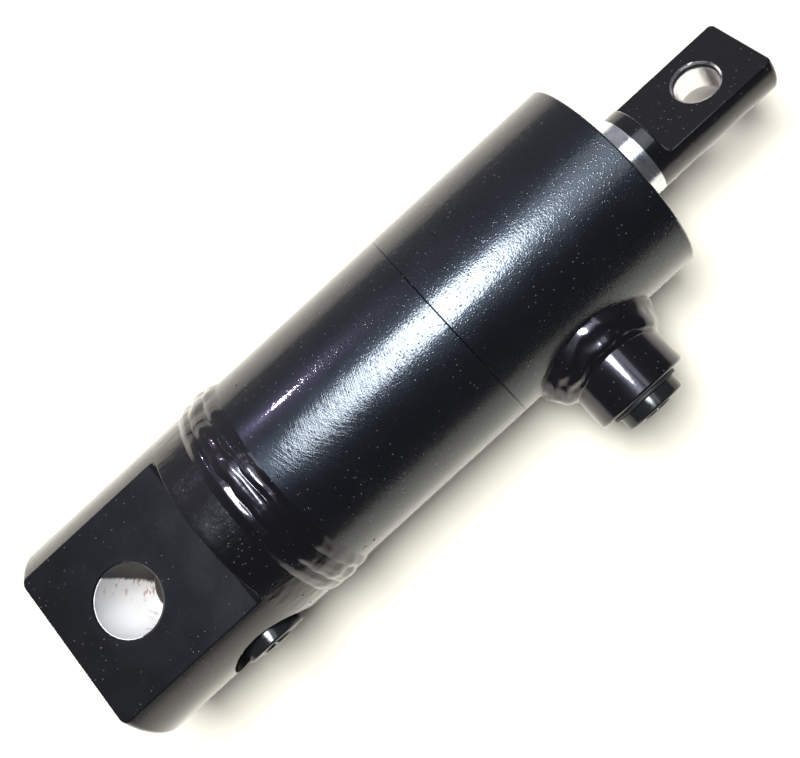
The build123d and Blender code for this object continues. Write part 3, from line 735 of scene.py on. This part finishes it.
# Weld spatter ------------------------------------------------------------------------------------------
SPATTER_COUNT = 26
SPATTER_SEED = 5
SPATTER_REACH = (0.5, 7.0)  # from the weld's edge, mm
SPATTER_R = (0.22, 0.5)  # mm
SPATTER_SQUASH = (0.4, 0.7)
SPATTER_SUNK = 0.05 * MM


def spatter():
    """Small frozen drops on the round surfaces beside the base weld, all in one mesh."""
    chance = random.Random(SPATTER_SEED)
    drops = bmesh.new()
    for _ in range(SPATTER_COUNT):
        side = chance.choice((-1, 1))
        edge = WELD_START if side < 0 else WELD_END
        x = edge + side * chance.uniform(*SPATTER_REACH) * MM
        angle = chance.uniform(0, 2 * math.pi)
        size = chance.uniform(*SPATTER_R) * MM
        squash = chance.uniform(*SPATTER_SQUASH)
        for vertex in bmesh.ops.create_icosphere(drops, subdivisions=2, radius=size)["verts"]:
            along, across, tall = vertex.co
            tall = tall * squash + BARREL_R - SPATTER_SUNK
            y = tall * math.sin(angle) + across * math.cos(angle)
            z = tall * math.cos(angle) - across * math.sin(angle)
            vertex.co = Vector((x + along, y, z))
    mesh = bpy.data.meshes.new("base_weld_spatter")
    drops.to_mesh(mesh)
    drops.free()
    return mesh


# Put together ------------------------------------------------------------------------------------------
RUBBER_NODES = (
    "head_joint_oring",
    "piston_bore_oring",
    "rod_seal_energizer",
    "piston_seal_energizer",
    "head_port_plug_seal",
    "base_port_plug_seal",
)
POLYMER_NODES = (
    "head_joint_backup_ring",
    "rod_guide_ring",
    "piston_guide_rear",
    "piston_guide_front",
    "piston_seal",
)


def give(material, *nodes):
    """Gives CAD nodes their finish."""
    for node in nodes:
        for slot in frame["nodes"][node].material_slots:
            slot.material = material


def dress_cad_nodes():
    """Finishes of the CAD nodes that stay as they are."""
    block = black_paint("block_paint", FLAT_HALO, peel=0.6, burnt=True, bore=BASE_BORE_WALL)
    tube = black_paint("tube_paint", ROUND_HALO, coat_roughness=0.06, peel=0.8, sanded=1.0, speckled=True)
    give(block, "base_block")
    give(tube, "barrel_tube")
    give(black_paint("cap_paint", ROUND_HALO, sanded=0.3, speckled=True), "head_cap")
    give(black_paint("eye_paint", FLAT_HALO, peel=0.8, bore=EYE_BORE_WALL), "rod_eye")
    give(chrome(), "piston_rod")
    give(machined_steel(), "piston", "piston_lock_nut")
    give(moulded("black_rubber", **BLACK_RUBBER), *RUBBER_NODES)
    give(moulded("blue_urethane", **BLUE_URETHANE), "rod_seal", "rod_wiper")
    give(moulded("filled_polymer", **FILLED_POLYMER), *POLYMER_NODES)


def build_pieces():
    """Meshes that show more than their CAD nodes do."""
    paint = black_paint("weld_paint", WELD_HALO, coat_roughness=0.035, peel=0.35)
    plastic = moulded("black_plastic", **BLACK_PLASTIC)
    piece(base_weld(), "barrel", paint, ["base_weld"], sharp_angle=60)
    piece(spatter(), "barrel", paint, sharp_angle=80)
    piece(port_weld(), "barrel", paint, ["head_port_weld"], sharp_angle=80)
    piece(boss(), "barrel", paint, ["head_port_boss"])
    for port in ("head", "base"):
        node = f"{port}_port_plug"
        moulding = plug(f"{port}_plug_moulding", node)
        piece(moulding, f"{port}_plug", plastic, [node])


# Studio ------------------------------------------------------------------------------------------------
def facing(direction):
    """Turn of a light that shines in a direction."""
    return Vector(direction).to_track_quat("-Z", "Y").to_euler()


def area_light(name, shape, place, direction, size, power, colour):
    """Soft light of a given size."""
    data = bpy.data.lights.new(name, "AREA")
    data.shape = shape
    data.size, data.size_y = size
    data.energy = power
    data.color = colour
    put(name, data, place, facing(direction))


def side_lamp():
    """Small lamp whose reflection is the thin streak along the tube."""
    lit = Vector((SIDE_LAMP_LIT_X, 0, BARREL_R))
    away = Vector(SIDE_LAMP_TOWARDS).normalized() * SIDE_LAMP_DISTANCE
    area_light("side_lamp", "RECTANGLE", lit + away, -away, SIDE_LAMP_SIZE, SIDE_LAMP_POWER, SIDE_LAMP_COLOUR)


def bore_lamp(mount, towards, power):
    """Narrow lamp that shines into a pin bore and misses the paint round it."""
    mouth = Vector(mount["pos_m"]) + Vector(mount["axis"]) * mount["dims"]["length_mm"] / 2 * MM
    spot_r = BORE_LAMP_SPREAD * mount["dims"]["r_mm"] * MM
    data = bpy.data.lights.new(mount["name"] + "_lamp", "SPOT")
    data.energy = power
    data.spot_size = 2 * math.atan(spot_r / BORE_LAMP_DISTANCE)
    data.spot_blend = BORE_LAMP_BLEND
    data.shadow_soft_size = BORE_LAMP_R
    put(data.name, data, mouth + towards * BORE_LAMP_DISTANCE, towards.to_track_quat("Z", "Y").to_euler())


def surround():
    """Dim world that brightens smoothly from -Y to +Y."""
    world = bpy.data.worlds.new("surround")
    world.use_nodes = True
    nodes, links = world.node_tree.nodes, world.node_tree.links
    direction = nodes.new("ShaderNodeTexCoord").outputs["Generated"]
    apart = nodes.new("ShaderNodeSeparateXYZ")
    links.new(direction, apart.inputs["Vector"])
    share = nodes.new("ShaderNodeMapRange")
    share.interpolation_type = "SMOOTHSTEP"
    share.inputs["From Min"].default_value = SURROUND_DAWN
    links.new(apart.outputs["Y"], share.inputs["Value"])
    shades = nodes.new("ShaderNodeMix")
    shades.data_type = "RGBA"
    shades.inputs["A"].default_value = (*SURROUND_DARK, 1.0)
    shades.inputs["B"].default_value = (*SURROUND_LIGHT, 1.0)
    links.new(share.outputs["Result"], shades.inputs["Factor"])
    links.new(shades.outputs["Result"], nodes["Background"].inputs["Color"])
    bpy.context.scene.world = world


def floor():
    """Pale paper that the cylinder lies on."""
    z = CAD_BOX[0].z - FLOOR_DROP
    half = FLOOR_SIZE / 2
    corners = [(-half, -half, z), (half, -half, z), (half, half, z), (-half, half, z)]
    mesh = bpy.data.meshes.new("floor")
    mesh.from_pydata(corners, [], [(0, 1, 2, 3)])
    mesh.materials.append(floor_paper())
    put("floor", mesh)


def studio():
    """Floor, overhead softboxes, a side lamp, a lamp for each pin bore and a dim surround."""
    floor()
    for name, (place, size, power) in OVERHEAD_LIGHTS.items():
        area_light(name, "ELLIPSE", place, (0, 0, -1), size, power, OVERHEAD_COLOUR)
    side_lamp()
    for name, (direction, power) in BORE_LAMPS.items():
        bore_lamp(MOUNTS[name], Vector(direction).normalized(), power)
    surround()
    bpy.context.scene.view_settings.view_transform = "Standard"


def camera():
    """Camera that looks down on the cylinder from above its port side."""
    data = bpy.data.cameras.new("camera")
    data.lens = CAMERA_LENS
    data.sensor_width = SENSOR_WIDTH
    data.shift_x, data.shift_y = CAMERA_SHIFT
    data.clip_start = CAMERA_NEAR
    turn = [math.radians(angle) for angle in CAMERA_TURN]
    bpy.context.scene.camera = put("camera", data, CAMERA_PLACE, turn)


dress_cad_nodes()
build_pieces()
studio()
camera()

bpy.context.view_layer.update()
